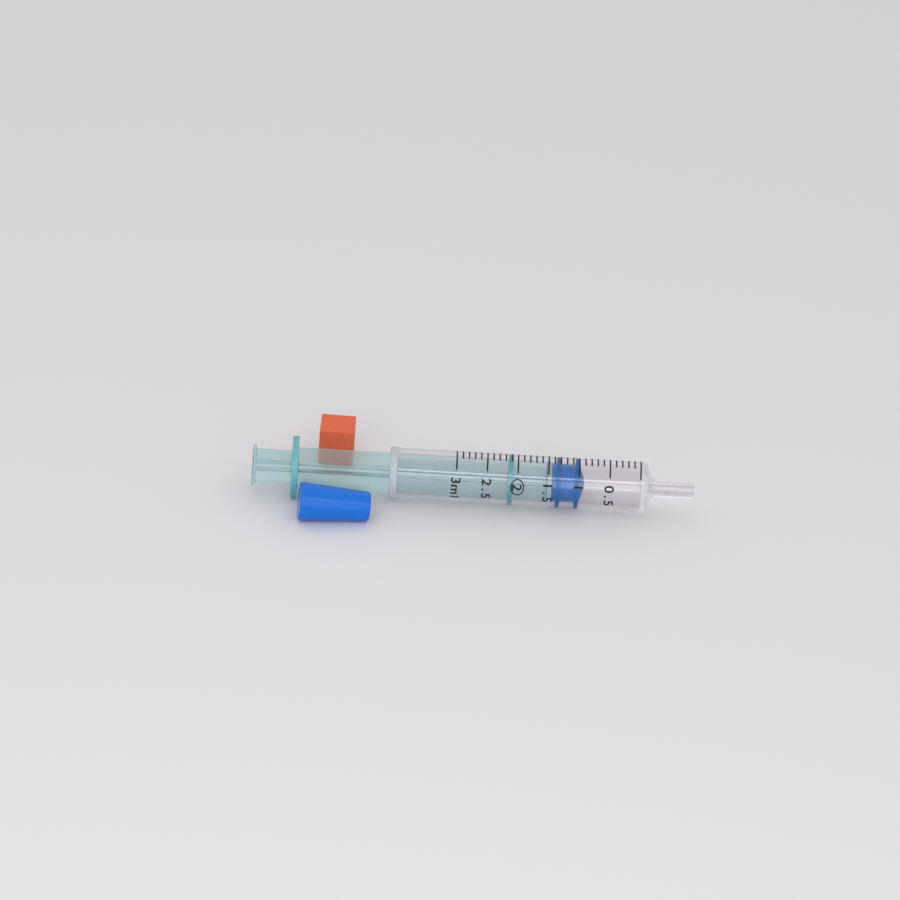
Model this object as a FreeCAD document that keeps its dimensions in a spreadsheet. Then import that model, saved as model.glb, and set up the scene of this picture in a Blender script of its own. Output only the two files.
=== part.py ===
import FreeCAD, Part
import os

import Sketcher

# Blood gas syringe, 3 ml, lying on a flat surface.
# X runs along the barrel towards the tip, Y points away from the viewer and Z up.
# The origin is the middle of the lower flat of the plunger's grip disc.

doc = FreeCAD.newDocument("blood_gas_syringe")

# Driving sizes, in millimetres unless the note says otherwise
SIZES = [
    ("bore_dia", 9.6, "inside diameter of the barrel"),
    ("barrel_wall", 0.95, "wall of the barrel"),
    ("bore_length", 56.6, "straight bore, from the rear face to the end cone"),
    ("zero_gap", 0.2, "end of the straight bore beyond the 0 ml line"),
    ("end_wall", 1.3, "wall of the end cone, measured along the axis"),
    ("shoulder_round", 1.2, "round of the shoulder"),
    ("rear_chamfer", 0.35, "lead-in at the rear of the bore"),
    ("tip_length", 9.7, "Luer tip, from the end cone to its end"),
    ("tip_end_dia", 3.95, "outside diameter at the end of the Luer tip"),
    ("luer_taper", 0.06, "taper on diameter, a ratio"),
    ("lumen_dia", 2.0, "passage through the tip"),
    ("tip_chamfer", 0.25, "chamfer at the end of the tip"),
    ("rim_height", 0.2, "height of the rim around the rear of the barrel"),
    ("rim_width", 1.7, "width of the rim"),
    ("grip_dia", 14.1, "grip disc of the rod, over its round edge"),
    ("grip_thickness", 1.45, "thickness of the grip disc"),
    ("grip_chamfer", 0.25, "chamfer of the grip disc's edges"),
    ("grip_offset", 9.55, "rear face of the thumb plate to the middle of the grip disc"),
    ("flat_depth", 0.7, "flats of the grip disc below its edge"),
    ("disc_dia", 9.34, "thumb plate and front disc of the rod"),
    ("rod_length", 67.5, "rear face of the thumb plate to the front face of the front disc"),
    ("thumb_thickness", 0.85, "thickness of the thumb plate"),
    ("thumb_dish", 0.3, "depth of the dish in the thumb plate"),
    ("thumb_rim", 0.8, "rim around the dish"),
    ("front_thickness", 1.2, "thickness of the front disc"),
    ("guide_thickness", 1.15, "thickness of the guide disc"),
    ("guide_offset", 8.75, "front face of the guide disc to the front face of the front disc"),
    ("guide_gap", 0.03, "radial gap between the guide disc and the bore"),
    ("rib_inset", 0.05, "ribs' tips below the discs' edge"),
    ("rib_root", 1.35, "thickness of a rib at the axis"),
    ("rib_tip", 1.0, "thickness of a rib at its tip"),
    ("core_dia", 2.6, "round core where the ribs cross"),
    ("rib_turn", 15.0, "turn of the ribs about the axis, degrees"),
    ("neck_dia", 3.2, "neck of the rod inside the piston"),
    ("neck_length", 1.2, "length of the neck"),
    ("head_dia", 5.2, "head of the rod inside the piston"),
    ("head_length", 1.6, "length of the head"),
    ("head_chamfer", 0.5, "chamfer that leads the head into the piston"),
    ("head_gap", 0.1, "gap around the neck and the head"),
    ("drawn_ml", 1.0, "volume that the piston is set to, millilitres"),
    ("piston_length", 6.05, "rear face of the piston to its front edge"),
    ("seal_gap", 0.03, "radial gap between the sealing ribs and the bore"),
    ("seal_width", 0.95, "width of a sealing rib"),
    ("seal_inset", 0.9, "rear face of the piston to the rear sealing rib"),
    ("seal_height", 0.55, "height of the sealing ribs over the waist"),
    ("seal_chamfer", 0.2, "softened edges of the sealing ribs"),
    ("nose_angle", 17.5, "slope of the piston's nose and of the end cone, degrees"),
    ("nose_flat_dia", 1.6, "small flat at the end of the nose"),
    ("cap_length", 15.9, "length of the tip cap"),
    ("cap_grip_dia", 8.8, "diameter at the closed end of the cap"),
    ("cap_mouth_dia", 6.6, "diameter at the mouth of the cap"),
    ("cap_round", 0.5, "round of the cap's closed end"),
    ("cap_mouth_chamfer", 0.3, "chamfer of the cap's mouth"),
    ("luer_engagement", 6.0, "depth that the tip enters the cap"),
    ("socket_depth", 9.5, "depth of the cap's socket"),
    ("cap_side_gap", 0.3, "gap between the cap and the grip disc's path"),
    ("cap_start", 1.0, "middle of the grip disc to the cap"),
    ("cap_turn", 4.0, "turn of the cap's narrow end towards the barrel, degrees"),
    ("block_length", 7.8, "needle block along the barrel"),
    ("block_depth", 7.8, "needle block away from the barrel"),
    ("block_height", 9.6, "height of the needle block"),
    ("block_round", 0.35, "round of the block's edges"),
    ("block_side_gap", 4.6, "distance between the block's near corner and the grip disc's path"),
    ("block_start", 5.1, "middle of the grip disc to the block"),
    ("block_turn", 2.0, "turn of the block, clockwise from above, degrees"),
]

sheet = doc.addObject("Spreadsheet::Sheet", "sizes")
for row, (alias, value, note) in enumerate(SIZES, start=1):
    sheet.set("A%d" % row, alias)
    sheet.set("B%d" % row, str(value))
    sheet.set("C%d" % row, note)
    sheet.setAlias("B%d" % row, alias)
doc.recompute()

# Sizes that follow from the driving ones, as expressions that several pieces share
ALIASES = [alias for alias, value, note in SIZES]


def linked(expression):
    """The expression with every size's name pointing at its cell in the sheet."""
    words = []
    word = ""
    for letter in expression + " ":
        if letter.isalnum() or letter == "_":
            word += letter
            continue
        words.append("<<sizes>>." + word if word in ALIASES else word)
        words.append(letter)
        word = ""
    return "".join(words).strip()


BORE = "(bore_dia / 2)"
OUTSIDE = "(bore_dia / 2 + barrel_wall)"
GRIP = "(grip_dia / 2)"
AXIS = "(grip_dia / 2 - flat_depth)"
LUMEN = "(lumen_dia / 2)"
SLOPE = "tan(nose_angle * 1deg)"
END_CONE = f"(({BORE} - {LUMEN}) * {SLOPE})"
TIP_FOOT_RADIUS = "(tip_end_dia / 2 + luer_taper * tip_length / 2)"
TIP_FOOT = f"(bore_length + end_wall + ({OUTSIDE} - {TIP_FOOT_RADIUS}) * {SLOPE})"
SHOULDER = "(bore_length + end_wall)"
MILLILITRE = f"(1000 / (pi * {BORE} * {BORE}))"
ROD_REAR = "(-grip_offset)"
PISTON_REAR = "(rod_length - grip_offset)"
ZERO_LINE = f"({PISTON_REAR} + piston_length + drawn_ml * {MILLILITRE})"
BARREL_REAR = f"({ZERO_LINE} + zero_gap - bore_length)"
DISC = "(disc_dia / 2)"
CAP_TAPER = "((cap_grip_dia - cap_mouth_dia) / 2 / cap_length)"


def number(expression):
    """The value of an expression in millimetres, or in degrees for an angle."""
    value = sheet.evalExpression(linked(expression))
    return float(getattr(value, "Value", value))


def origin_feature(body, role):
    """One of the body's own planes or axes."""
    return next(item for item in body.Origin.OriginFeatures if item.Role == role)


def new_body(name):
    """An empty body with its own label, which names its file."""
    body = doc.addObject("PartDesign::Body", name)
    body.Label = name
    return body


def new_sketch(body, name, plane):
    """An empty sketch on one of the body's own planes."""
    sketch = body.newObject("Sketcher::SketchObject", name)
    sketch.AttachmentSupport = [(origin_feature(body, plane), "")]
    sketch.MapMode = "FlatFace"
    return sketch


def hold_corner(sketch, kind, held, line, expression):
    """Ties one coordinate of a line's start to the axes, or to a corner that already has it."""
    first = held.get(expression)
    along = "DistanceX" if kind == "Vertical" else "DistanceY"
    if first is not None:
        sketch.addConstraint(Sketcher.Constraint(kind, first, 1, line, 1))
        return
    held[expression] = line
    if expression == "0":
        axis = -2 if kind == "Vertical" else -1
        sketch.addConstraint(Sketcher.Constraint("PointOnObject", line, 1, axis))
        return
    name = "%s_%d" % (along, line)
    index = sketch.addConstraint(Sketcher.Constraint(along, -1, 1, line, 1, number(expression)))
    sketch.renameConstraint(index, name)
    sketch.setExpression("Constraints." + name, linked(expression))


def outline(sketch, corners):
    """A closed outline of straight lines through corners given as pairs of expressions."""
    points = [FreeCAD.Vector(number(along), number(across), 0) for along, across in corners]
    count = len(points)
    for index in range(count):
        following = points[(index + 1) % count]
        sketch.addGeometry(Part.LineSegment(points[index], following), False)
    for index in range(count):
        sketch.addConstraint(Sketcher.Constraint("Coincident", index, 2, (index + 1) % count, 1))
    held_along = {}
    held_across = {}
    for index, (along, across) in enumerate(corners):
        hold_corner(sketch, "Vertical", held_along, index, along)
        hold_corner(sketch, "Horizontal", held_across, index, across)
    doc.recompute()


def turned(body, name, corners):
    """A solid of revolution about the body's X axis, from half of its section."""
    sketch = new_sketch(body, name + "_section", "XY_Plane")
    outline(sketch, corners)
    turn = body.newObject("PartDesign::Revolution", name)
    turn.Profile = sketch
    turn.ReferenceAxis = (sketch, ["H_Axis"])
    turn.Angle = 360
    sketch.Visibility = False
    doc.recompute()
    return turn


# Two places closer than this are the same, in millimetres
NEAR = 1e-4


def circle_edges(shape, place, radius):
    """Names of the whole circles about the X axis at a place and a radius."""
    names = []
    for index, edge in enumerate(shape.Edges, start=1):
        curve = edge.Curve
        if not isinstance(curve, Part.Circle):
            continue
        if abs(curve.Center.x - place) < NEAR and abs(curve.Radius - radius) < NEAR:
            names.append("Edge%d" % index)
    return names


def rounded(body, name, edges, size):
    """A fillet on named edges of the body's last feature."""
    base = body.Tip
    fillet = body.newObject("PartDesign::Fillet", name)
    fillet.Base = (base, edges)
    fillet.setExpression("Radius", linked(size))
    doc.recompute()
    return fillet


def round_circles(body, name, size, places):
    """Rounds the circles at the given places, each a pair of expressions for x and radius."""
    shape = body.Tip.Shape
    edges = []
    for place, radius in places:
        edges += circle_edges(shape, number(place), number(radius))
    if len(edges) < len(places):
        raise RuntimeError("%s finds %d of its %d edges" % (name, len(edges), len(places)))
    return rounded(body, name, edges, size)


def put(body, along, across="0", up=AXIS):
    """Places a body with its own origin at a point of the syringe's frame."""
    body.setExpression("Placement.Base.x", linked(along))
    body.setExpression("Placement.Base.y", linked(across))
    body.setExpression("Placement.Base.z", linked(up))


def make_barrel():
    """Clear barrel: straight bore, end cone, Luer tip and a low rim at the rear."""
    body = new_body("barrel")
    rim = f"({OUTSIDE} + rim_height)"
    tip_end = f"({TIP_FOOT} + tip_length)"
    turned(body, "barrel_turned", [
        ("0", f"({BORE} + rear_chamfer)"),
        ("0", OUTSIDE),
        ("rim_height", rim),
        ("(rim_width - rim_height)", rim),
        ("rim_width", OUTSIDE),
        (SHOULDER, OUTSIDE),
        (TIP_FOOT, TIP_FOOT_RADIUS),
        (f"({tip_end} - tip_chamfer)", "(tip_end_dia / 2 + luer_taper * tip_chamfer / 2)"),
        (tip_end, "(tip_end_dia / 2 - tip_chamfer)"),
        (tip_end, LUMEN),
        (f"(bore_length + {END_CONE})", LUMEN),
        ("bore_length", BORE),
        ("rear_chamfer", BORE),
    ])
    round_circles(body, "shoulder_fillet", "shoulder_round", [(SHOULDER, OUTSIDE)])
    put(body, BARREL_REAR)
    return body


def make_plunger_rod():
    """Teal rod: discs, core, neck and head turned, four tapered ribs in a polar pattern, flats on the grip disc."""
    body = new_body("plunger_rod")
    core = "(core_dia / 2)"
    guide_front = "(rod_length - guide_offset)"
    guide_rear = "(rod_length - guide_offset - guide_thickness)"
    guide = f"({BORE} - guide_gap)"
    front_rear = "(rod_length - front_thickness)"
    neck_end = "(rod_length + neck_length)"
    head_end = "(rod_length + neck_length + head_length)"
    grip_rear = "(grip_offset - grip_thickness / 2)"
    grip_front = "(grip_offset + grip_thickness / 2)"
    grip_edge = f"({GRIP} - grip_chamfer)"
    turned(body, "rod_turned", [
        ("thumb_dish", "0"),
        ("thumb_dish", f"({DISC} - thumb_rim - thumb_dish)"),
        ("0", f"({DISC} - thumb_rim)"),
        ("0", DISC),
        ("thumb_thickness", DISC),
        ("thumb_thickness", core),
        (grip_rear, core),
        (grip_rear, grip_edge),
        ("(grip_offset - grip_thickness / 2 + grip_chamfer)", GRIP),
        ("(grip_offset + grip_thickness / 2 - grip_chamfer)", GRIP),
        (grip_front, grip_edge),
        (grip_front, core),
        (guide_rear, core),
        (guide_rear, guide),
        (guide_front, guide),
        (guide_front, core),
        (front_rear, core),
        (front_rear, DISC),
        ("rod_length", DISC),
        ("rod_length", "(neck_dia / 2)"),
        (neck_end, "(neck_dia / 2)"),
        (neck_end, "(head_dia / 2)"),
        ("(rod_length + neck_length + head_length - head_chamfer)", "(head_dia / 2)"),
        (head_end, "(head_dia / 2 - head_chamfer)"),
        (head_end, "0"),
    ])
    rib = new_sketch(body, "rib_section", "YZ_Plane")
    rib.setExpression("AttachmentOffset.Base.z", linked("thumb_thickness / 2"))
    rib.setExpression("AttachmentOffset.Rotation.Angle", linked("rib_turn * 1deg"))
    tip = f"({DISC} - rib_inset)"
    outline(rib, [
        ("-rib_root / 2", "0"),
        ("rib_root / 2", "0"),
        ("rib_tip / 2", tip),
        ("-rib_tip / 2", tip),
    ])
    pad = body.newObject("PartDesign::Pad", "rib")
    pad.Profile = rib
    pad.setExpression("Length", linked("rod_length - front_thickness / 2 - thumb_thickness / 2"))
    rib.Visibility = False
    doc.recompute()
    ribs = body.newObject("PartDesign::PolarPattern", "ribs")
    ribs.Originals = [pad]
    ribs.Axis = (rib, ["N_Axis"])
    ribs.Angle = 360
    ribs.Occurrences = 4
    body.Tip = ribs
    doc.recompute()
    if ribs.Shape.Volume < pad.Shape.Volume * 1.2:
        raise RuntimeError("the ribs' pattern adds nothing")
    cut_flats(body)
    put(body, ROD_REAR)
    return body


def cut_flats(body):
    """Two level flats on the grip disc, so that the syringe doesn't roll."""
    before = body.Tip.Shape.Volume
    sketch = new_sketch(body, "flat_outline", "YZ_Plane")
    sketch.setExpression("AttachmentOffset.Base.z", linked("grip_offset"))
    outline(sketch, [
        (f"-{GRIP}", AXIS),
        (GRIP, AXIS),
        (GRIP, f"(2 * {GRIP})"),
        (f"-{GRIP}", f"(2 * {GRIP})"),
    ])
    flat = body.newObject("PartDesign::Pocket", "flat")
    flat.Profile = sketch
    flat.SideType = "Symmetric"
    flat.setExpression("Length", linked("2 * grip_thickness"))
    sketch.Visibility = False
    doc.recompute()
    one = before - flat.Shape.Volume
    flats = body.newObject("PartDesign::Mirrored", "flats")
    flats.Originals = [flat]
    flats.MirrorPlane = (origin_feature(body, "XY_Plane"), [""])
    body.Tip = flats
    doc.recompute()
    if one <= 0 or abs(before - flats.Shape.Volume - 2 * one) > 0.01 * one:
        raise RuntimeError("the grip disc's flats are not cut")


def make_piston():
    """Blue elastomer piston: two rounded sealing ribs, a waist, a conical nose and a seat for the head."""
    body = new_body("piston")
    seal = f"({BORE} - seal_gap)"
    crown = f"({BORE} - seal_gap - seal_chamfer)"
    waist = f"({seal} - seal_height)"
    rear_seal = "seal_inset"
    rear_seal_end = "(seal_inset + seal_width)"
    front_seal = "(piston_length - seal_width)"
    nose_end = f"(piston_length + ({seal} - nose_flat_dia / 2) * {SLOPE})"
    neck_hole = "(neck_dia / 2 + head_gap)"
    head_hole = "(head_dia / 2 + head_gap)"
    head_start = "(neck_length - head_gap)"
    seat_end = "(neck_length + head_length + head_gap)"
    seat_shoulder = "(neck_length + head_length + head_gap - head_chamfer)"
    turned(body, "piston_turned", [
        ("0", neck_hole),
        ("0", waist),
        (rear_seal, waist),
        (rear_seal, crown),
        ("(seal_inset + seal_chamfer)", seal),
        ("(seal_inset + seal_width - seal_chamfer)", seal),
        (rear_seal_end, crown),
        (rear_seal_end, waist),
        (front_seal, waist),
        (front_seal, crown),
        ("(piston_length - seal_width + seal_chamfer)", seal),
        ("piston_length", seal),
        (nose_end, "(nose_flat_dia / 2)"),
        (nose_end, "0"),
        (seat_end, "0"),
        (seat_end, "(head_dia / 2 + head_gap - head_chamfer)"),
        (seat_shoulder, head_hole),
        (head_start, head_hole),
        (head_start, neck_hole),
    ])
    put(body, PISTON_REAR)
    return body


def make_tip_cap():
    """Blue tip cap, a cone that lies on its side, with a tapered socket in its narrow end."""
    body = new_body("tip_cap")
    socket_mouth = "((tip_end_dia + luer_taper * luer_engagement) / 2)"
    lip = "(cap_length - cap_mouth_chamfer)"
    socket_floor = f"({socket_mouth} - luer_taper * socket_depth / 2)"
    turned(body, "cap_turned", [
        ("0", "0"),
        ("0", "(cap_grip_dia / 2)"),
        (lip, f"(cap_mouth_dia / 2 + {CAP_TAPER} * cap_mouth_chamfer)"),
        ("cap_length", "(cap_mouth_dia / 2 - cap_mouth_chamfer)"),
        ("cap_length", socket_mouth),
        ("(cap_length - socket_depth)", socket_floor),
        ("(cap_length - socket_depth)", "0"),
    ])
    round_circles(body, "cap_fillet", "cap_round", [("0", "(cap_grip_dia / 2)")])
    body.setExpression("Placement.Rotation.Pitch", linked(f"atan({CAP_TAPER})"))
    body.setExpression("Placement.Rotation.Yaw", linked("cap_turn * 1deg"))
    grip = "(cap_grip_dia / 2)"
    height = f"({grip} * cos(atan({CAP_TAPER})))"
    reach = f"({GRIP} + {grip} + cap_side_gap)"
    rise = f"({AXIS} - {height})"
    across = f"-sqrt({reach} * {reach} - {rise} * {rise})"
    lean = f"acos(cos(atan({CAP_TAPER})) * cos(cap_turn * 1deg))"
    along = f"(cap_start + {grip} * sin({lean}))"
    put(body, along, across, height)
    return body


def make_needle_block():
    """Orange rubber block with softened edges, standing on its own base."""
    body = new_body("needle_block")
    sketch = new_sketch(body, "block_base", "XY_Plane")
    outline(sketch, [
        ("0", "0"),
        ("block_length", "0"),
        ("block_length", "block_depth"),
        ("0", "block_depth"),
    ])
    pad = body.newObject("PartDesign::Pad", "block_pad")
    pad.Profile = sketch
    pad.setExpression("Length", linked("block_height"))
    sketch.Visibility = False
    doc.recompute()
    edges = ["Edge%d" % (index + 1) for index in range(len(pad.Shape.Edges))]
    rounded(body, "block_edges", edges, "block_round")
    body.setExpression("Placement.Rotation.Angle", linked("-block_turn * 1deg"))
    put(body, "block_start", f"({GRIP} + block_side_gap)", "0")
    return body


PIECES = [
    make_barrel(),
    make_plunger_rod(),
    make_piston(),
    make_tip_cap(),
    make_needle_block(),
]
doc.recompute()

for item in doc.Objects:
    if "Invalid" in item.State or "Error" in item.State:
        raise RuntimeError("%s did not build" % item.Name)
for piece in PIECES:
    if piece.Shape.isNull() or not piece.Shape.isValid() or len(piece.Shape.Solids) != 1:
        raise RuntimeError("%s is not one valid solid" % piece.Label)

os.makedirs("parts", exist_ok=True)
for piece in PIECES:
    piece.Shape.exportStep("parts/%s.step" % piece.Label)
    print(piece.Label, round(piece.Shape.Volume, 2), piece.Shape.BoundBox)
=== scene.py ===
import math

import bmesh
import bpy
from bpy.props import FloatProperty, FloatVectorProperty, IntProperty, PointerProperty
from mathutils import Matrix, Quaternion, Vector


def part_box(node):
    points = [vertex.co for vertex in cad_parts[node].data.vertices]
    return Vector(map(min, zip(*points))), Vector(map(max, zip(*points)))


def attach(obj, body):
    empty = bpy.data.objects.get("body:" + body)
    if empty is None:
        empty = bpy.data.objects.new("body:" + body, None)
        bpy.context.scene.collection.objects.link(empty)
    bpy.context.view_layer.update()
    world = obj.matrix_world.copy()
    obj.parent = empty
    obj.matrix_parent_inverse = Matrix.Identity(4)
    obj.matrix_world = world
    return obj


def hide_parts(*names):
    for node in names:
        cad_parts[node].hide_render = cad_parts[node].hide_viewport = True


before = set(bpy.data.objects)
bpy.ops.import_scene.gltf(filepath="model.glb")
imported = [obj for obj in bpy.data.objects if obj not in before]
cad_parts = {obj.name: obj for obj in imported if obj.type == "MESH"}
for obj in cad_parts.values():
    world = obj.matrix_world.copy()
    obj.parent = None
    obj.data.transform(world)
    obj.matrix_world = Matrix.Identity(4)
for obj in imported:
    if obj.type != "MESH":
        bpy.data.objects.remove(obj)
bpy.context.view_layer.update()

bl_info = {
    "name": "Blood Gas Syringe",
    "version": (1, 0, 0),
    "blender": (4, 5, 0),
    "location": "View3D > Sidebar > Syringe",
    "description": "Finishes a 3 ml blood gas syringe with its cap and needle block, and sets its stage",
    "category": "Object",
}

MM = 0.001
CUBIC_METRES_PER_ML = 1e-6

# Places read from the frame. x runs along the syringe towards its tip
BARREL_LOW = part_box("barrel")[0]
ROD_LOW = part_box("plunger_rod")[0]
PISTON_LOW, PISTON_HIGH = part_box("piston")
AXIS_HEIGHT = (PISTON_LOW.z + PISTON_HIGH.z) / 2

# A slip tip narrows by 6 % of its length
TIP_TAPER = 0.06

# The guide disc slides in the bore with this gap all round
SLIDE_GAP = 0.03 * MM

# The wall magnifies only what touches it, so sealing ribs and oil reach this far into it
WALL_CONTACT = 0.03 * MM

# The ink starts just under the barrel's surface and ends just above it
INK_SUNK = 0.004 * MM
INK_RISE = 0.014 * MM

# Edges sharper than this stay sharp in a smooth mesh, in degrees
CREASE = 28

# Steps round a turned piece, and degrees in a step of a small round
SEGMENTS = 192
ROUND_STEP = 12

POLYPROPYLENE_IOR = 1.49


def linear(text):
    """A colour written as sRGB hex, in linear values."""
    values = []
    for place in (1, 3, 5):
        value = int(text[place:place + 2], 16) / 255
        values.append(value / 12.92 if value <= 0.04045 else ((value + 0.055) / 1.055) ** 2.4)
    return tuple(values)


def length(name, value, description):
    """A length property whose default is given in millimetres."""
    return FloatProperty(name=name, description=description, default=value * MM,
                         unit="LENGTH", precision=5)


def colour(name, value, description):
    """A colour property whose default is given as sRGB hex."""
    return FloatVectorProperty(name=name, description=description, default=linear(value),
                               size=3, min=0, max=1, subtype="COLOR")


def degrees(name, value, description):
    """An angle property whose default is given in degrees."""
    return FloatProperty(name=name, description=description, default=math.radians(value),
                         unit="ROTATION")


class BarrelSettings(bpy.types.PropertyGroup):
    bore: length("Bore", 9.6, "Inside diameter")
    wall: length("Wall", 0.95, "Thickness of the wall")
    bore_length: length("Bore length", 56.6, "Rear face to the end cone")
    lead_in: length("Lead-in", 0.35, "Chamfer of the bore's rear edge")
    end_wall: length("End wall", 1.3, "Wall of the end cone along the axis")
    cone_slope: degrees("Cone slope", 17.5, "Lean of the end cone from square to the axis")
    shoulder: length("Shoulder", 1.2, "Round of the shoulder")
    tip_length: length("Tip length", 9.7, "Length of the slip tip")
    tip_end: length("Tip end", 3.95, "Diameter at the end of the tip")
    lumen: length("Lumen", 2.0, "Passage through the tip")
    rim_height: length("Rim height", 0.2, "Rim around the rear end")
    rim_width: length("Rim width", 1.7, "Width of the rim")
    tint: colour("Tint", "#F0EFF1", "Colour of the clear plastic")
    rim_tint: colour("Rim tint", "#CCD2D8", "Colour of the frosted rim")
    passing: colour("Passing light", "#FBFBFC", "Tint of the light that goes through the wall")
    rim_passing: colour("Rim's passing light", "#F3F3F6", "Tint of the light that goes through the rim")


class PrintSettings(bpy.types.PropertyGroup):
    full_volume: IntProperty(name="Full volume", default=3,
                             description="Last printed volume, in millilitres")
    zero_inset: length("Zero inset", 0.2, "End of the straight bore to the 0 line")
    stroke: length("Stroke", 0.34, "Width of the lines")
    start: degrees("Lines start", 129, "Place round the barrel, up and over from the near side")
    short_end: degrees("Short lines end", 76, "Place round the barrel")
    long_end: degrees("Long lines end", 46, "Place round the barrel")
    figures_start: degrees("Figures start", 21, "Place of the first figure round the barrel")
    figure_pitch: degrees("Figure pitch", 17.4, "One figure to the next round the barrel")
    letter_pitch: degrees("Letter pitch", 21.8, "One letter of the unit to the next")
    figure_height: length("Figure height", 2.15, "Height of the figures, along the barrel")
    figure_width: FloatProperty(name="Figure width", default=1.18,
                                description="Stretch of the figures round the barrel")
    figure_weight: length("Figure weight", 0.045, "Swells the figures' strokes on each side")
    ring_height: length("Ring height", 3.95, "Ring of the 2 ml figure, round the barrel")
    ring_width: length("Ring width", 3.1, "Ring of the 2 ml figure, along the barrel")
    ring_stroke: length("Ring stroke", 0.28, "Width of the ring's line")
    ring_drop: degrees("Ring drop", 8, "How far the ringed 2 sits below the other figures")
    ink: colour("Ink", "#0D0D11", "Colour of the print")


class PlungerSettings(bpy.types.PropertyGroup):
    edge: colour("Edges", "#66AEB6", "Teal of the grip disc's edge and the guide disc's rim")
    rod: colour("Rod", "#C8E3E3", "Pale teal of the rod")
    passing: colour("Passing light", "#C4E6EA", "Tint of the light that goes through the rod")
    disc_size: length("Disc", 9.34, "Diameter of the thumb plate and the front disc")
    thumb_thickness: length("Thumb plate", 0.85, "Thickness of the thumb plate")
    dish_depth: length("Dish", 0.3, "Depth of the dish in the thumb plate")
    dish_border: length("Dish border", 0.8, "Width of the flat border round the dish")
    grip_size: length("Grip disc", 14.1, "Diameter of the grip disc")
    flat_depth: length("Flats", 0.7, "Depth of the grip disc's two flats")
    grip_offset: length("Grip's place", 9.55, "Rear face of the rod to the middle of the grip disc")
    grip_thickness: length("Grip thickness", 1.45, "Thickness of the grip disc")
    guide_offset: length("Guide disc", 8.75, "Front of the guide disc to the front of the front disc")
    guide_thickness: length("Guide thickness", 1.15, "Thickness of the guide disc")
    front_thickness: length("Front disc", 1.2, "Thickness of the front disc")
    core_size: length("Core", 2.7, "Diameter of the core along the rod")
    rib_turn: degrees("Ribs' turn", 30, "Place of the first rib round the rod, up from the near side")
    rib_reach: length("Ribs' reach", 4.47, "Axis to the edge of the long ribs")
    thumb_rib_reach: length("Thumb ribs' reach", 3.68, "Axis to the edge of the thumb plate's ribs")
    rib_root: length("Rib root", 1.35, "Thickness of a rib near the axis")
    rib_edge: length("Rib edge", 0.9, "Thickness of a rib at its edge")
    neck_size: length("Neck", 3.2, "Diameter of the neck behind the head")
    neck_length: length("Neck length", 1.2, "Front disc to the head")
    head_size: length("Head", 5.2, "Diameter of the head inside the piston")
    head_length: length("Head length", 1.6, "Length of the head")
    head_taper: length("Head taper", 0.3, "How much the head's radius narrows forwards")


class PistonSettings(bpy.types.PropertyGroup):
    tint: colour("Piston", "#0066B2", "Blue of the piston")
    rear_rib: length("Rear rib", 0.9, "Rear face to the rear sealing rib")
    rib_width: length("Rib width", 0.95, "Width of each sealing rib")
    rib_depth: length("Rib depth", 0.58, "Wall of the bore to the waist between the ribs")
    reading_edge: length("Reading edge", 6.05, "Rear face to the front edge of the front sealing rib")
    nose_size: length("Nose", 1.6, "Diameter of the cone's flat end")
    seat_gap: length("Seat gap", 0.1, "Gap round the rod's head and neck")


class LooseSettings(bpy.types.PropertyGroup):
    cap: colour("Cap", "#0A6CD0", "Blue of the tip cap")
    block: colour("Block", "#E76A45", "Orange of the needle block")


class StageSettings(bpy.types.PropertyGroup):
    floor: colour("Floor", "#E2DFE2", "Colour of the floor")
    backdrop: colour("Backdrop", "#E0DDE1", "Colour behind the floor")
    light: colour("Light", "#FFFFFF", "Colour of the even light")
    elevation: degrees("Elevation", 30, "Height of the camera above the horizon")
    azimuth: degrees("Azimuth", -0.9, "Turn of the camera towards the tip")
    roll: degrees("Roll", 3.8, "Turn of the camera about its own view")
    lens: FloatProperty(name="Lens", default=304, unit="CAMERA", description="Focal length")
    fill: FloatProperty(name="Fill", default=0.72, description="Strength of the even light")
    key: FloatProperty(name="Key", default=0.3, unit="POWER",
                       description="Power of the soft light behind")
    front: FloatProperty(name="Front", default=2.2, unit="POWER",
                         description="Power of the soft light in front")
    strip: FloatProperty(name="Strip", default=0.6, unit="POWER",
                         description="Power of the narrow light above")


def add_node(tree, kind, values=None, links=None, **settings):
    """Adds a node, sets its properties and inputs, and links its inputs to other nodes' outputs."""
    node = tree.nodes.new(kind)
    for name, value in settings.items():
        setattr(node, name, value)
    for name, value in (values or {}).items():
        socket = node.inputs[name]
        is_colour = socket.type == "RGBA" and len(value) == 3
        socket.default_value = (*value, 1) if is_colour else value
    for name, source in (links or {}).items():
        tree.links.new(source, node.inputs[name])
    return node


def new_material(name):
    """An empty node material and its tree."""
    material = bpy.data.materials.new(name)
    material.use_nodes = True
    material.node_tree.nodes.clear()
    return material, material.node_tree


def paint(obj, material):
    """Puts one material on all of an object's slots."""
    slots = obj.data.materials
    if not slots:
        slots.append(material)
    for index in range(len(slots)):
        slots[index] = material


def noise_bump(tree, size_mm, strength, depth_mm, detail=3):
    """A bump from noise whose grain has a real size."""
    place = add_node(tree, "ShaderNodeTexCoord")
    noise = add_node(tree, "ShaderNodeTexNoise",
                     {"Scale": 1 / (size_mm * MM), "Detail": detail, "Roughness": 0.55},
                     {"Vector": place.outputs["Object"]})
    return add_node(tree, "ShaderNodeBump", {"Strength": strength, "Distance": depth_mm * MM},
                    {"Height": noise.outputs["Fac"]})


def scaled(tint, factor):
    """A colour made darker or paler."""
    return tuple(value * factor for value in tint)


def mottled(tree, dark, pale, size_mm, detail):
    """A colour that wanders between a dark and a pale one, in clouds of a real size."""
    place = add_node(tree, "ShaderNodeTexCoord")
    cloud = add_node(tree, "ShaderNodeTexNoise", {"Scale": 1 / (size_mm * MM), "Detail": detail},
                     {"Vector": place.outputs["Object"]})
    mix = add_node(tree, "ShaderNodeMix", {"A": (*dark, 1), "B": (*pale, 1)},
                   {"Factor": cloud.outputs["Fac"]}, data_type="RGBA")
    return mix.outputs["Result"]


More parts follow.
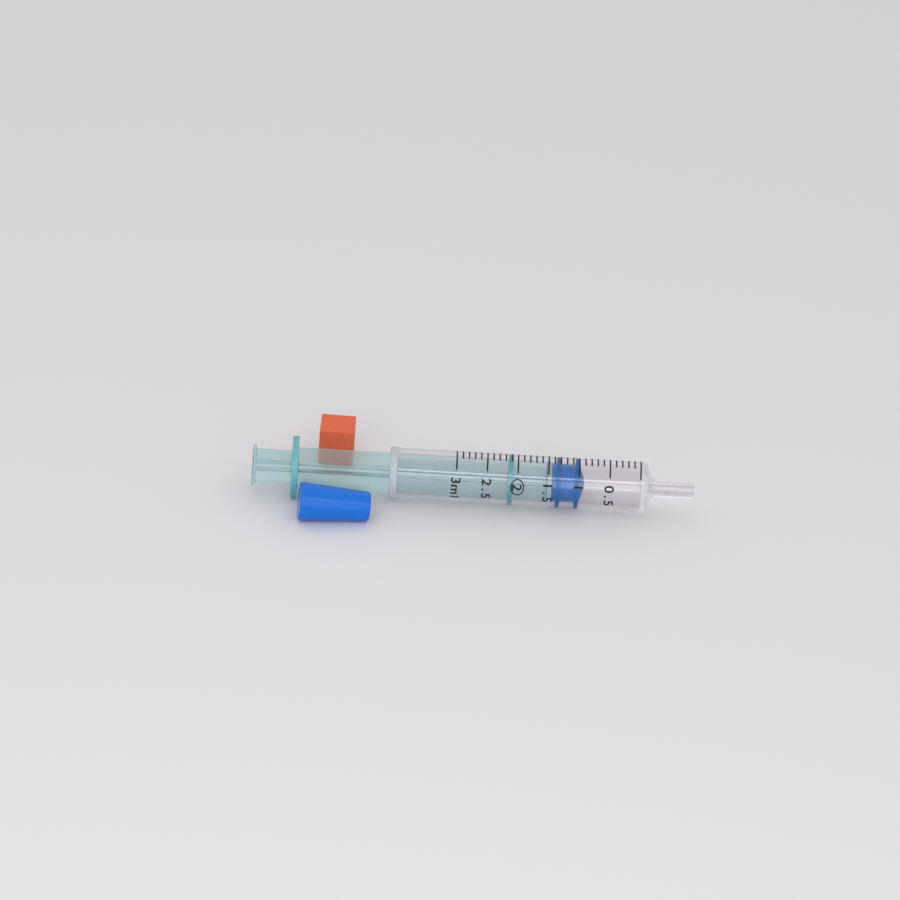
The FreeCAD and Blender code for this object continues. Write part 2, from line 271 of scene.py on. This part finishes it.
def let_light_pass(tree, body, tint):
    """Ends a clear material: its shadow is only a tint, and light caught inside it gets out."""
    passing = add_node(tree, "ShaderNodeBsdfTransparent", {"Color": tint})
    path = add_node(tree, "ShaderNodeLightPath")
    caught = add_node(tree, "ShaderNodeMath", {1: 1}, {0: path.outputs["Glossy Depth"]},
                      operation="GREATER_THAN")
    either = add_node(tree, "ShaderNodeMath", {}, {
        0: path.outputs["Is Shadow Ray"],
        1: caught.outputs["Value"],
    }, operation="MAXIMUM")
    mix = add_node(tree, "ShaderNodeMixShader", {}, {
        "Fac": either.outputs["Value"],
        1: body.outputs["BSDF"],
        2: passing.outputs["BSDF"],
    })
    add_node(tree, "ShaderNodeOutputMaterial", {}, {"Surface": mix.outputs["Shader"]})


def clear_polypropylene(settings):
    """Clear moulded polypropylene: a polished tube that bends what is behind it and hardly tints it."""
    material, tree = new_material("clear_polypropylene_moulded")
    # Flow marks of the moulding, 5 mm apart, make the reflections waver a little
    bump = noise_bump(tree, 5, 0.05, 0.02, 1)
    body = add_node(tree, "ShaderNodeBsdfPrincipled", {
        "Base Color": settings.tint,
        "Roughness": 0.03,
        "IOR": POLYPROPYLENE_IOR,
        "Transmission Weight": 1.0,
    }, {"Normal": bump.outputs["Normal"]})
    let_light_pass(tree, body, settings.passing)
    return material


def frosted_polypropylene(settings):
    """Clear polypropylene where the rear rim was cut: rough, so it looks like pale frosted glass."""
    material, tree = new_material("clear_polypropylene_frosted")
    # Cut marks of about 0.12 mm scatter the light
    bump = noise_bump(tree, 0.12, 0.3, 0.01)
    body = add_node(tree, "ShaderNodeBsdfPrincipled", {
        "Base Color": settings.rim_tint,
        "Roughness": 0.55,
        "IOR": POLYPROPYLENE_IOR,
        "Transmission Weight": 0.35,
    }, {"Normal": bump.outputs["Normal"]})
    let_light_pass(tree, body, settings.rim_passing)
    return material


def teal_polypropylene(settings):
    """Teal polypropylene where it is thick: waxy, semi-gloss, with soft light inside it."""
    material, tree = new_material("teal_polypropylene_solid")
    # Fine mould texture, 0.15 mm, only dulls the highlights
    bump = noise_bump(tree, 0.15, 0.15, 0.01)
    body = add_node(tree, "ShaderNodeBsdfPrincipled", {
        "Base Color": settings.edge,
        "Roughness": 0.36,
        "IOR": POLYPROPYLENE_IOR,
        "Subsurface Weight": 0.25,
        "Subsurface Radius": (0.4, 1.0, 1.0),
        "Subsurface Scale": 0.6 * MM,
    }, {"Normal": bump.outputs["Normal"]})
    add_node(tree, "ShaderNodeOutputMaterial", {}, {"Surface": body.outputs["BSDF"]})
    return material


def pale_teal_polypropylene(settings):
    """Translucent teal polypropylene, moulded thin: light goes into the ribs and they glow."""
    material, tree = new_material("teal_polypropylene_translucent")
    # Mould texture and flow of the melt, 0.4 mm
    bump = noise_bump(tree, 0.4, 0.03, 0.01)
    # The pigment is a little uneven along the rod, in clouds of about 6 mm
    tint = mottled(tree, scaled(settings.rod, 0.92), settings.rod, 6, 2)
    body = add_node(tree, "ShaderNodeBsdfPrincipled", {
        "Roughness": 0.16,
        "IOR": POLYPROPYLENE_IOR,
        "Transmission Weight": 0.93,
        "Subsurface Weight": 0.4,
        "Subsurface Radius": (0.6, 1.0, 1.0),
        "Subsurface Scale": 1.0 * MM,
    }, {"Base Color": tint, "Normal": bump.outputs["Normal"]})
    let_light_pass(tree, body, settings.passing)
    return material


def blue_butyl_rubber(settings):
    """Blue butyl rubber, moulded and siliconised: dense, smooth and softly shiny."""
    material, tree = new_material("blue_butyl_rubber")
    # Compression-moulded skin with a grain of about 0.2 mm
    bump = noise_bump(tree, 0.2, 0.1, 0.008)
    body = add_node(tree, "ShaderNodeBsdfPrincipled", {
        "Base Color": settings.tint,
        "Roughness": 0.4,
        "IOR": 1.52,
        "Specular IOR Level": 0.2,
    }, {"Normal": bump.outputs["Normal"]})
    add_node(tree, "ShaderNodeOutputMaterial", {}, {"Surface": body.outputs["BSDF"]})
    return material


def blue_polyethylene(settings):
    """Blue polyethylene, moulded: glossy with a waxy depth."""
    material, tree = new_material("blue_polyethylene_moulded")
    # Faint draw marks of the mould, 0.5 mm
    bump = noise_bump(tree, 0.5, 0.12, 0.012)
    body = add_node(tree, "ShaderNodeBsdfPrincipled", {
        "Base Color": settings.cap,
        "Roughness": 0.24,
        "IOR": 1.51,
        "Specular IOR Level": 0.3,
        "Subsurface Weight": 0.15,
        "Subsurface Radius": (0.3, 0.6, 1.0),
        "Subsurface Scale": 0.6 * MM,
    }, {"Normal": bump.outputs["Normal"]})
    add_node(tree, "ShaderNodeOutputMaterial", {}, {"Surface": body.outputs["BSDF"]})
    return material


def orange_rubber(settings):
    """Orange natural rubber, cut from a sheet: matt, with a fine grain and faint mottling."""
    material, tree = new_material("orange_natural_rubber_cut")
    # Filler grain of about 0.25 mm
    grain = noise_bump(tree, 0.25, 0.35, 0.03, 4)
    # The filler clouds the colour over about 1.6 mm
    tint = mottled(tree, scaled(settings.block, 0.86), settings.block, 1.6, 4)
    body = add_node(tree, "ShaderNodeBsdfPrincipled", {
        "Roughness": 0.62,
        "IOR": 1.52,
        "Specular IOR Level": 0.35,
        "Subsurface Weight": 0.4,
        "Subsurface Radius": (1.0, 0.5, 0.3),
        "Subsurface Scale": 1.2 * MM,
    }, {"Base Color": tint, "Normal": grain.outputs["Normal"]})
    add_node(tree, "ShaderNodeOutputMaterial", {}, {"Surface": body.outputs["BSDF"]})
    return material


def printing_ink(settings):
    """Black pad-printing ink: a thin opaque film, a little satin, denser in some places."""
    material, tree = new_material("black_printing_ink")
    # Ink density varies over about 0.3 mm
    tint = mottled(tree, settings.ink, scaled(settings.ink, 2), 0.3, 3)
    body = add_node(tree, "ShaderNodeBsdfPrincipled", {
        "Roughness": 0.5,
        "IOR": 1.5,
        "Specular IOR Level": 0.25,
    }, {"Base Color": tint})
    # The clear shoulder doesn't mirror the thin lines
    nothing = add_node(tree, "ShaderNodeBsdfTransparent")
    path = add_node(tree, "ShaderNodeLightPath")
    mix = add_node(tree, "ShaderNodeMixShader", {}, {
        "Fac": path.outputs["Is Glossy Ray"],
        1: body.outputs["BSDF"],
        2: nothing.outputs["BSDF"],
    })
    add_node(tree, "ShaderNodeOutputMaterial", {}, {"Surface": mix.outputs["Shader"]})
    return material


def softened(corners):
    """A profile from (place, place, round) corners, with an arc wherever the round isn't 0."""
    result = []
    for index, (*corner, radius) in enumerate(corners):
        if not radius:
            result.append(tuple(corner))
            continue
        here = Vector(corner)
        before = (Vector(corners[index - 1][:2]) - here).normalized()
        after = (Vector(corners[(index + 1) % len(corners)][:2]) - here).normalized()
        half = before.angle(after) / 2
        reach = radius / math.tan(half)
        centre = here + (before + after).normalized() * (radius / math.sin(half))
        first = here + before * reach - centre
        last = here + after * reach - centre
        steps = max(3, math.ceil(math.degrees(first.angle(last)) / ROUND_STEP))
        for step in range(steps + 1):
            result.append(tuple(centre + first.slerp(last, step / steps) * radius))
    return result


def skin(shape, rows, closed=False):
    """Joins rows of points with faces. A row is a loop, or a single point on the axis."""
    for first, second in zip(rows, rows[1:] + (rows[:1] if closed else [])):
        count = max(len(first), len(second))
        if count == 1:
            continue
        for index in range(count):
            following = (index + 1) % count
            face = [first[index], first[following]] if len(first) > 1 else first[:]
            face += [second[following], second[index]] if len(second) > 1 else second
            shape.faces.new(face)


def smooth(mesh, crease=CREASE):
    """Shades a mesh smooth except over its sharp edges."""
    mesh.shade_smooth()
    mesh.set_sharp_from_angle(angle=math.radians(crease))


def new_piece(name, shape, crease=CREASE):
    """Turns a shape into a linked piece, faces outwards, and frees the shape."""
    bmesh.ops.recalc_face_normals(shape, faces=shape.faces)
    mesh = bpy.data.meshes.new(name)
    shape.to_mesh(mesh)
    shape.free()
    smooth(mesh, crease)
    piece = bpy.data.objects.new(name, mesh)
    bpy.context.scene.collection.objects.link(piece)
    return piece


def lathe(name, corners, start, closed=True, crease=CREASE):
    """Turns (along, radius, round) corners about the syringe's axis; along counts from start."""
    shape = bmesh.new()
    rings = []
    for along, radius in softened(corners):
        if radius <= 0:
            rings.append([shape.verts.new((start + along, 0, AXIS_HEIGHT))])
            continue
        ring = []
        for step in range(SEGMENTS):
            angle = math.tau * step / SEGMENTS
            point = (start + along, radius * math.cos(angle), AXIS_HEIGHT + radius * math.sin(angle))
            ring.append(shape.verts.new(point))
        rings.append(ring)
    skin(shape, rings, closed)
    return new_piece(name, shape, crease)


def combine(base, piece, operation):
    """Joins a piece to another or cuts it out of it, and takes the piece away."""
    modifier = base.modifiers.new(operation, "BOOLEAN")
    modifier.operation = operation
    modifier.solver = "EXACT"
    modifier.object = piece
    graph = bpy.context.evaluated_depsgraph_get()
    mesh = bpy.data.meshes.new_from_object(base.evaluated_get(graph))
    base.modifiers.clear()
    spent = (base.data, piece.data)
    base.data = mesh
    bpy.data.objects.remove(piece)
    for former in spent:
        bpy.data.meshes.remove(former)


def round_axis(along, around, radius):
    """A point at a place along the axis and round it, counted up and over from the near side."""
    return Vector((along, -radius * math.cos(around), AXIS_HEIGHT + radius * math.sin(around)))


def dress(node, material):
    """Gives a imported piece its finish. Its shape stays as packed."""
    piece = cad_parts[node]
    smooth(piece.data)
    paint(piece, material)


class SYRINGE_OT_barrel(bpy.types.Operator):
    """Turn the clear barrel with its slip tip"""
    bl_idname = "syringe.barrel"
    bl_label = "Barrel"

    def execute(self, context):
        settings = context.scene.syringe_barrel
        bore = settings.bore / 2
        outside = bore + settings.wall
        lumen = settings.lumen / 2
        lead_in = settings.lead_in
        slope = math.tan(settings.cone_slope)
        tip_end = settings.tip_end / 2
        tip_foot = tip_end + TIP_TAPER / 2 * settings.tip_length
        shoulder = settings.bore_length + settings.end_wall
        foot = shoulder + (outside - tip_foot) * slope
        end = foot + settings.tip_length
        cone_end = settings.bore_length + (bore - lumen) * slope
        rim = settings.rim_height
        rim_width = settings.rim_width
        corners = [
            (0, bore + lead_in, 0),
            (0, outside, 0),
            (rim, outside + rim, 0),
            (rim_width - rim, outside + rim, 0),
            (rim_width, outside, 0),
            (shoulder, outside, settings.shoulder),
            (foot, tip_foot, 0.3 * MM),
            (end, tip_end, 0.22 * MM),
            (end, lumen, 0.15 * MM),
            (cone_end, lumen, 0.4 * MM),
            (settings.bore_length, bore, 0.4 * MM),
            (lead_in, bore, 0),
        ]
        barrel = lathe("barrel_clear", corners, BARREL_LOW.x, crease=40)
        paint(barrel, clear_polypropylene(settings))
        barrel.data.materials.append(frosted_polypropylene(settings))
        for face in barrel.data.polygons:
            if face.center.x < BARREL_LOW.x + rim_width:
                face.material_index = 1
        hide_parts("barrel")
        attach(barrel, "syringe")
        return {"FINISHED"}


class SYRINGE_OT_scale_print(bpy.types.Operator):
    """Print the lines and figures of the scale round the barrel"""
    bl_idname = "syringe.scale_print"
    bl_label = "Scale print"

    def execute(self, context):
        barrel = context.scene.syringe_barrel
        settings = context.scene.syringe_print
        self.radius = barrel.bore / 2 + barrel.wall
        self.zero = BARREL_LOW.x + barrel.bore_length - settings.zero_inset
        area = math.pi * (barrel.bore / 2) ** 2
        self.millilitre = CUBIC_METRES_PER_ML / area
        ink = printing_ink(settings)
        for piece in (self.lines(settings), self.figures(settings)):
            paint(piece, ink)
            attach(piece, "syringe")
        return {"FINISHED"}

    def lines(self, settings):
        """The lines for each 0.1 ml, longer at each 0.5 ml."""
        shape = bmesh.new()
        tenths = settings.full_volume * 10
        for tenth in range(tenths + 1):
            along = self.zero - self.millilitre * tenth / 10
            end = settings.long_end if tenth % 5 == 0 else settings.short_end
            self.band(shape, along, settings.stroke, settings.start, end)
        return new_piece("scale_lines", shape)

    def band(self, shape, along, width, start, end):
        """A thin closed strip of ink round the barrel, with a step about each 3 degrees."""
        steps = max(8, round(math.degrees(abs(end - start)) / 3))
        low = self.radius - INK_SUNK
        high = self.radius + INK_RISE
        outline = ((-width / 2, low), (width / 2, low), (width / 2, high), (-width / 2, high))
        rows = []
        for step in range(steps + 1):
            around = start + (end - start) * step / steps
            rows.append([shape.verts.new(round_axis(along + side, around, radius))
                         for side, radius in outline])
        skin(shape, rows)
        shape.faces.new(reversed(rows[0]))
        shape.faces.new(rows[-1])

    def figures(self, settings):
        """The figures at each 0.5 ml, read down the barrel, with a ring round the 2."""
        joined = bmesh.new()
        halves = settings.full_volume * 2
        for half in range(1, halves + 1):
            words = f"{half / 2:g}"
            along = self.zero - self.millilitre * half / 2
            around = settings.figures_start
            if words == "2":
                around -= settings.ring_drop
                self.wrap_ring(joined, along, around, settings)
            if half == halves:
                words += "ml"
            pitch = settings.letter_pitch if words.isalnum() else settings.figure_pitch
            for place, letter in enumerate(words):
                self.wrap_letter(joined, letter, along, around - place * pitch, settings)
        return new_piece("scale_figures", joined)

    def wrap_letter(self, joined, letter, along, middle, settings):
        """Sets one letter in a plain face, cuts it fine and wraps it round the barrel."""
        # A figure of Blender's own font is this much of the font's size
        figure_share = 0.729
        curve = bpy.data.curves.new("letter", "FONT")
        curve.body = letter
        curve.size = settings.figure_height / figure_share
        curve.extrude = (INK_RISE + INK_SUNK) / 2
        curve.offset = settings.figure_weight
        curve.resolution_u = 6
        holder = bpy.data.objects.new("letter", curve)
        bpy.context.scene.collection.objects.link(holder)
        graph = bpy.context.evaluated_depsgraph_get()
        flat = bpy.data.meshes.new_from_object(holder.evaluated_get(graph))
        bpy.data.objects.remove(holder)
        bpy.data.curves.remove(curve)
        shape = bmesh.new()
        shape.from_mesh(flat)
        bmesh.ops.remove_doubles(shape, verts=shape.verts, dist=0.001 * MM)
        lowest = min(vert.co.x for vert in shape.verts)
        highest = max(vert.co.x for vert in shape.verts)
        # Cuts 0.3 mm apart let the letter bend with the barrel
        cut_pitch = 0.3 * MM
        for step in range(1, math.ceil((highest - lowest) / cut_pitch)):
            geometry = list(shape.verts) + list(shape.edges) + list(shape.faces)
            place = (lowest + step * cut_pitch, 0, 0)
            bmesh.ops.bisect_plane(shape, geom=geometry, dist=0.0001 * MM,
                                   plane_co=place, plane_no=(1, 0, 0))
        ink_middle = self.radius + (INK_RISE - INK_SUNK) / 2
        for vert in shape.verts:
            across = vert.co.x - (lowest + highest) / 2
            around = middle - across * settings.figure_width / self.radius
            side = vert.co.y - settings.figure_height / 2
            vert.co = round_axis(along + side, around, ink_middle + vert.co.z)
        shape.to_mesh(flat)
        shape.free()
        joined.from_mesh(flat)
        bpy.data.meshes.remove(flat)

    def wrap_ring(self, joined, along, middle, settings):
        """The ring round the 2 ml figure."""
        low = self.radius - INK_SUNK
        high = self.radius + INK_RISE
        stroke = settings.ring_stroke
        steps = 64
        rows = []
        for step in range(steps):
            angle = math.tau * step / steps
            row = []
            for inset, radius in ((0, low), (0, high), (stroke, high), (stroke, low)):
                side = (settings.ring_width / 2 - inset) * math.cos(angle)
                down = (settings.ring_height / 2 - inset) * math.sin(angle)
                point = round_axis(along + side, middle - down / self.radius, radius)
                row.append(joined.verts.new(point))
            rows.append(row)
        skin(joined, rows, closed=True)


class SYRINGE_OT_plunger_rod(bpy.types.Operator):
    """Make the ribbed rod with its discs, and the oiled rim of its guide disc"""
    bl_idname = "syringe.plunger_rod"
    bl_label = "Plunger rod"

    def execute(self, context):
        settings = context.scene.syringe_plunger
        self.bore = context.scene.syringe_barrel.bore / 2
        # The front disc ends at the piston's rear face
        self.front = PISTON_LOW.x
        self.guide_rear = self.front - settings.guide_offset - settings.guide_thickness
        self.grip_middle = ROD_LOW.x + settings.grip_offset
        thumb_middle = ROD_LOW.x + settings.thumb_thickness / 2
        front_middle = self.front - settings.front_thickness / 2
        rod = self.turned(settings)
        self.ribs(rod, settings.thumb_rib_reach, thumb_middle, self.grip_middle, settings)
        self.ribs(rod, settings.rib_reach, self.grip_middle, front_middle, settings)
        self.cut_flats(rod, settings)
        smooth(rod.data)
        paint(rod, pale_teal_polypropylene(settings))
        solid = teal_polypropylene(settings)
        self.paint_grip_edge(rod, solid, settings)
        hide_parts("plunger_rod")
        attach(rod, "plunger")
        self.oiled_rim(solid, settings)
        return {"FINISHED"}

    def turned(self, settings):
        """The round forms: thumb plate, grip, guide and front discs, and the head in the piston."""
        core = settings.core_size / 2
        disc = settings.disc_size / 2
        thumb = settings.thumb_thickness
        dish = settings.dish_depth
        dish_edge = disc - settings.dish_border
        grip = settings.grip_size / 2
        grip_rear = settings.grip_offset - settings.grip_thickness / 2
        grip_front = settings.grip_offset + settings.grip_thickness / 2
        guide = self.bore - SLIDE_GAP
        guide_rear = self.guide_rear - ROD_LOW.x
        guide_front = guide_rear + settings.guide_thickness
        front = self.front - ROD_LOW.x
        front_rear = front - settings.front_thickness
        neck = settings.neck_size / 2
        neck_end = front + settings.neck_length
        head = settings.head_size / 2
        head_end = neck_end + settings.head_length
        edge = 0.2 * MM
        fillet = 0.25 * MM
        corners = [
            (dish, 0, 0),
            (dish, dish_edge - dish, 0),
            (0, dish_edge, edge),
            (0, disc, edge),
            (thumb, disc, edge),
            (thumb, core, fillet),
            (grip_rear, core, fillet),
            (grip_rear, grip, edge),
            (grip_front, grip, edge),
            (grip_front, core, fillet),
            (guide_rear, core, fillet),
            (guide_rear, guide, edge),
            (guide_front, guide, edge),
            (guide_front, core, 0),
            (front_rear, core, 0),
            (front_rear, disc, edge),
            (front, disc, edge),
            (front, neck, 0),
            (neck_end, neck, 0),
            (neck_end, head, edge),
            (head_end, head - settings.head_taper, edge),
            (head_end, 0, 0),
        ]
        return lathe("plunger_rod_ribbed", corners, ROD_LOW.x, closed=False)

    def ribs(self, rod, reach, start, end, settings):
        """Four crossed ribs from one place to another, each a little thinner towards its edge."""
        root = settings.rib_root / 2
        edge = settings.rib_edge / 2
        quarter = ((root, root, 0.3 * MM), (reach, edge, 0.25 * MM), (reach, -edge, 0.25 * MM))
        outline = []
        for turn in range(4):
            across = math.cos(turn * math.pi / 2)
            up = math.sin(turn * math.pi / 2)
            for out, side, fillet in quarter:
                outline.append((out * across + side * up, out * up - side * across, fillet))
        shape = bmesh.new()
        ends = []
        for along in (start, end):
            ring = []
            for out, side in softened(outline):
                around = math.atan2(side, out) + settings.rib_turn
                ring.append(shape.verts.new(round_axis(along, around, math.hypot(out, side))))
            ends.append(ring)
        skin(shape, ends)
        shape.faces.new(ends[0])
        shape.faces.new(ends[1])
        combine(rod, new_piece("ribs", shape), "UNION")

    def cut_flats(self, rod, settings):
        """Cuts the two level flats off the grip disc."""
        wide = settings.grip_size
        for side in (-1, 1):
            shape = bmesh.new()
            bmesh.ops.create_cube(shape, size=1)
            bmesh.ops.scale(shape, vec=(2 * settings.grip_thickness, wide, wide), verts=shape.verts)
            height = AXIS_HEIGHT + side * (wide - settings.flat_depth)
            bmesh.ops.translate(shape, vec=(self.grip_middle, 0, height), verts=shape.verts)
            combine(rod, new_piece("flat", shape), "DIFFERENCE")

    def paint_grip_edge(self, rod, material, settings):
        """Paints the edge of the grip disc solid, as it is seen through the whole width of the disc."""
        slack = 0.01 * MM
        margin = 0.1 * MM
        reach = settings.grip_thickness / 2 + slack
        inner = settings.grip_size / 2 - settings.flat_depth - margin
        rod.data.materials.append(material)
        for face in rod.data.polygons:
            radius = math.hypot(face.center.y, face.center.z - AXIS_HEIGHT)
            if abs(face.center.x - self.grip_middle) < reach and radius > inner:
                face.material_index = len(rod.data.materials) - 1

    def oiled_rim(self, material, settings):
        """Silicone oil joins the guide disc's rim to the wall, so the wall magnifies it."""
        rim = self.bore + WALL_CONTACT
        inner = self.bore - 0.3 * MM
        thickness = settings.guide_thickness
        edge = 0.12 * MM
        corners = [(0, inner, 0), (0, rim, edge), (thickness, rim, edge), (thickness, inner, 0)]
        oiled = lathe("guide_disc_rim", corners, self.guide_rear)
        paint(oiled, material)
        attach(oiled, "plunger")


class SYRINGE_OT_piston(bpy.types.Operator):
    """Turn the blue piston with its sealing ribs pressed on the wall"""
    bl_idname = "syringe.piston"
    bl_label = "Piston"

    def execute(self, context):
        settings = context.scene.syringe_piston
        rod = context.scene.syringe_plunger
        bore = context.scene.syringe_barrel.bore / 2
        contact = bore + WALL_CONTACT
        waist = bore - settings.rib_depth
        rear_rib = settings.rear_rib
        rear_rib_end = rear_rib + settings.rib_width
        front_rib_end = settings.reading_edge
        front_rib = front_rib_end - settings.rib_width
        nose = PISTON_HIGH.x - PISTON_LOW.x
        gap = settings.seat_gap
        neck = rod.neck_size / 2 + gap
        head = rod.head_size / 2 + gap
        seat_rear = rod.neck_length - gap
        seat_front = rod.neck_length + rod.head_length + gap
        edge = 0.12 * MM
        corners = [
            (0, neck, 0),
            (0, waist, 0.15 * MM),
            (rear_rib, waist, edge),
            (rear_rib, contact, edge),
            (rear_rib_end, contact, edge),
            (rear_rib_end, waist, 0.2 * MM),
            (front_rib, waist, 0.2 * MM),
            (front_rib, contact, edge),
            (front_rib_end, contact, 0.1 * MM),
            (nose, settings.nose_size / 2, 0.3 * MM),
            (nose, 0, 0),
            (seat_front, 0, 0),
            (seat_front, head - rod.head_taper, 0),
            (seat_rear, head, 0),
            (seat_rear, neck, 0),
        ]
        piston = lathe("piston_pressed", corners, PISTON_LOW.x)
        paint(piston, blue_butyl_rubber(settings))
        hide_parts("piston")
        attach(piston, "plunger")
        return {"FINISHED"}


class SYRINGE_OT_tip_cap(bpy.types.Operator):
    """Finish the blue tip cap"""
    bl_idname = "syringe.tip_cap"
    bl_label = "Tip cap"

    def execute(self, context):
        dress("tip_cap", blue_polyethylene(context.scene.syringe_loose))
        return {"FINISHED"}


class SYRINGE_OT_needle_block(bpy.types.Operator):
    """Finish the orange needle block"""
    bl_idname = "syringe.needle_block"
    bl_label = "Needle block"

    def execute(self, context):
        dress("needle_block", orange_rubber(context.scene.syringe_loose))
        return {"FINISHED"}


class SYRINGE_OT_stage(bpy.types.Operator):
    """Lay the floor, set the lights and place the camera"""
    bl_idname = "syringe.stage"
    bl_label = "Stage"

    # The photograph's frame, and where the middle of the barrel's axis lies in it
    image_width = 900
    middle_along = 40 * MM
    middle_pixel = (472.0, 477.4)
    pixels_per_metre = 4437

    def execute(self, context):
        settings = context.scene.syringe_stage
        context.scene.view_settings.view_transform = "Standard"
        self.lay_floor(settings)
        self.set_world(context, settings)
        self.add_light("key_behind", settings.key, place=(0.02, 0.42, 0.62), size=(0.7, 0.5))
        self.add_light("strip_above", settings.strip, place=(0.04, -0.4, 0.45), size=(0.6, 0.09))
        self.add_light("front_fill", settings.front, place=(-0.1, -0.8, 0.3), size=(0.9, 0.5))
        self.place_camera(context, settings)
        return {"FINISHED"}

    def lay_floor(self, settings):
        """A wide matt floor, 6 m across."""
        mesh = bpy.data.meshes.new("floor")
        half = 3
        mesh.from_pydata([(-half, -half, 0), (half, -half, 0), (half, half, 0), (-half, half, 0)],
                         [], [(0, 1, 2, 3)])
        floor = bpy.data.objects.new("floor", mesh)
        bpy.context.scene.collection.objects.link(floor)
        # Uncoated paper hardly shines
        material, tree = new_material("matt_paper_floor")
        body = add_node(tree, "ShaderNodeBsdfPrincipled",
                        {"Base Color": settings.floor, "Roughness": 0.9, "Specular IOR Level": 0.1})
        add_node(tree, "ShaderNodeOutputMaterial", {}, {"Surface": body.outputs["BSDF"]})
        paint(floor, material)

    def set_world(self, context, settings):
        """Even light from all round, with the backdrop's colour where it is seen."""
        world = bpy.data.worlds.new("even_light")
        context.scene.world = world
        world.use_nodes = True
        tree = world.node_tree
        tree.nodes.clear()
        glow = add_node(tree, "ShaderNodeBackground",
                        {"Color": settings.light, "Strength": settings.fill})
        # The camera, gloss and clear plastic see the backdrop's colour
        backdrop = add_node(tree, "ShaderNodeBackground", {"Color": settings.backdrop, "Strength": 1.0})
        path = add_node(tree, "ShaderNodeLightPath")
        seen = path.outputs["Is Camera Ray"]
        for kind in ("Is Glossy Ray", "Is Transmission Ray"):
            either = add_node(tree, "ShaderNodeMath", {}, {0: seen, 1: path.outputs[kind]},
                              operation="MAXIMUM")
            seen = either.outputs["Value"]
        mix = add_node(tree, "ShaderNodeMixShader", {}, {
            "Fac": seen,
            1: glow.outputs["Background"],
            2: backdrop.outputs["Background"],
        })
        add_node(tree, "ShaderNodeOutputWorld", {}, {"Surface": mix.outputs["Shader"]})

    def add_light(self, name, power, place, size):
        """A rectangular soft light that points at the middle of the barrel."""
        data = bpy.data.lights.new(name, "AREA")
        data.shape = "RECTANGLE"
        data.size, data.size_y = size
        data.energy = power
        light = bpy.data.objects.new(name, data)
        light.location = place
        aim = Vector((self.middle_along, 0, AXIS_HEIGHT)) - Vector(place)
        light.rotation_mode = "QUATERNION"
        light.rotation_quaternion = aim.to_track_quat("-Z", "Y")
        bpy.context.scene.collection.objects.link(light)

    def place_camera(self, context, settings):
        """Puts the camera where the middle of the barrel lands on its pixel at the photo's scale."""
        data = bpy.data.cameras.new("camera")
        data.lens = settings.lens
        data.sensor_width = 36
        data.clip_start = 0.05
        data.clip_end = 20
        back = Vector((
            math.sin(settings.azimuth) * math.cos(settings.elevation),
            -math.cos(settings.azimuth) * math.cos(settings.elevation),
            math.sin(settings.elevation),
        ))
        turn = (-back).to_track_quat("-Z", "Y") @ Quaternion((0, 0, 1), settings.roll)
        right = turn @ Vector((1, 0, 0))
        up = turn @ Vector((0, 1, 0))
        focal_pixels = settings.lens / data.sensor_width * self.image_width
        depth = focal_pixels / self.pixels_per_metre
        across = (self.middle_pixel[0] - self.image_width / 2) / self.pixels_per_metre
        down = (self.middle_pixel[1] - self.image_width / 2) / self.pixels_per_metre
        middle = Vector((self.middle_along, 0, AXIS_HEIGHT))
        camera = bpy.data.objects.new("camera", data)
        camera.location = middle + back * depth - right * across + up * down
        camera.rotation_mode = "QUATERNION"
        camera.rotation_quaternion = turn
        context.scene.collection.objects.link(camera)
        context.scene.camera = camera


OPERATORS = (
    SYRINGE_OT_stage,
    SYRINGE_OT_barrel,
    SYRINGE_OT_scale_print,
    SYRINGE_OT_plunger_rod,
    SYRINGE_OT_piston,
    SYRINGE_OT_tip_cap,
    SYRINGE_OT_needle_block,
)

SETTINGS = {
    "syringe_barrel": BarrelSettings,
    "syringe_print": PrintSettings,
    "syringe_plunger": PlungerSettings,
    "syringe_piston": PistonSettings,
    "syringe_loose": LooseSettings,
    "syringe_stage": StageSettings,
}


class SYRINGE_PT_panel(bpy.types.Panel):
    """Lists the sizes, the colours and the steps of the syringe"""
    bl_label = "Blood Gas Syringe"
    bl_idname = "SYRINGE_PT_panel"
    bl_space_type = "VIEW_3D"
    bl_region_type = "UI"
    bl_category = "Syringe"

    def draw(self, context):
        for name, kind in SETTINGS.items():
            box = self.layout.box()
            for setting in kind.__annotations__:
                box.prop(getattr(context.scene, name), setting)
        for operator in OPERATORS:
            self.layout.operator(operator.bl_idname)


CLASSES = (*SETTINGS.values(), *OPERATORS, SYRINGE_PT_panel)


def register():
    for kind in CLASSES:
        bpy.utils.register_class(kind)
    for name, kind in SETTINGS.items():
        setattr(bpy.types.Scene, name, PointerProperty(type=kind))


def unregister():
    for name in SETTINGS:
        delattr(bpy.types.Scene, name)
    for kind in reversed(CLASSES):
        bpy.utils.unregister_class(kind)


def corners(bounds):
    """The two corners of a box as plain lists."""
    return [list(corner) for corner in bounds]


def main():
    register()
    bpy.ops.syringe.stage()
    bpy.ops.syringe.barrel()
    bpy.ops.syringe.scale_print()
    bpy.ops.syringe.plunger_rod()
    bpy.ops.syringe.piston()
    bpy.ops.syringe.tip_cap()
    bpy.ops.syringe.needle_block()


if __name__ == "__main__":
    main()
